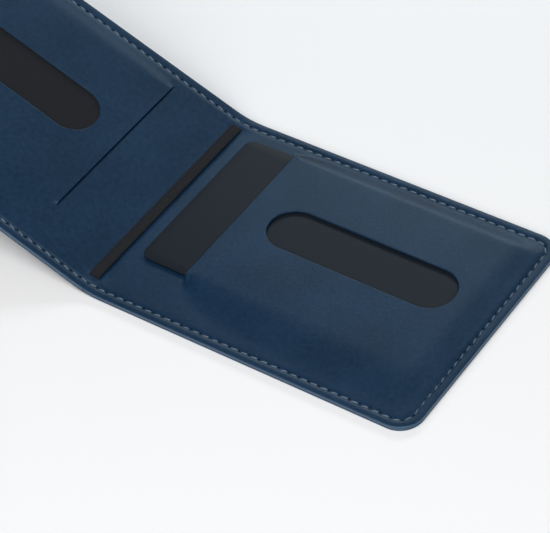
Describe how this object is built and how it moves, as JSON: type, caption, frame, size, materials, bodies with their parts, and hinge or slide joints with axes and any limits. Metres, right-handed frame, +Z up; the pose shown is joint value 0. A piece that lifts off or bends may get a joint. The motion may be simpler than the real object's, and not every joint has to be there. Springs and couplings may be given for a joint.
{
  "type": "folding wallet",
  "caption": "Slim bifold leather wallet with saddle-stitched edges, a card slit with thumb slot on each side, an elastic cash strap along the fold and a sliding blank card",
  "frame": {"origin": "the middle of the card side's flat underside, on the surface that the wallet lies on", "axes": "+X across the fold towards the card side's free edge, +Y along the fold, +Z up out of the card side"},
  "size_m": [0.205, 0.0794, 0.0414],
  "materials": {
    "outer_leather": "smooth fine-grained navy leather with painted edges",
    "liner_leather": "smooth fine-grained navy leather, satin",
    "pocket_fabric": "plain black woven lining",
    "thread": "waxed blue-grey thread",
    "elastic": "ribbed black elastic",
    "card_plastic": "matte black card with rounded corners"
  },
  "bodies": {
    "card_side": {"outer_card_side": "outer_leather", "liner_card_side": "liner_leather", "pocket_lining_card_side": "pocket_fabric", "thread_card_side": "thread"},
    "spine": {"outer_spine": "outer_leather", "liner_spine": "liner_leather", "thread_spine": "thread", "cash_strap": "elastic"},
    "left_side": {"outer_left_side": "outer_leather", "liner_left_side": "liner_leather", "pocket_lining_left_side": "pocket_fabric", "thread_left_side": "thread"},
    "card": {"blank_card": "card_plastic"}
  },
  "joints": [
    {"name": "card_side_fold", "type": "hinge", "parent": "card_side", "child": "spine", "pos_m": [-0.05122, 0, 0], "axis": [0, 1, 0], "range_deg": [-11, 79]},
    {"name": "left_side_fold", "type": "hinge", "parent": "spine", "child": "left_side", "pos_m": [-0.05908, 0, 0.00153], "axis": [0, 1, 0], "range_deg": [-11, 79]},
    {"name": "card_slide", "type": "slide", "parent": "card_side", "child": "card", "axis": [1, 0, 0], "range_m": [0, 0.004]}
  ],
  "couplings": [
    {"joint": "left_side_fold", "follows": "card_side_fold", "ratio": 1}
  ]
}
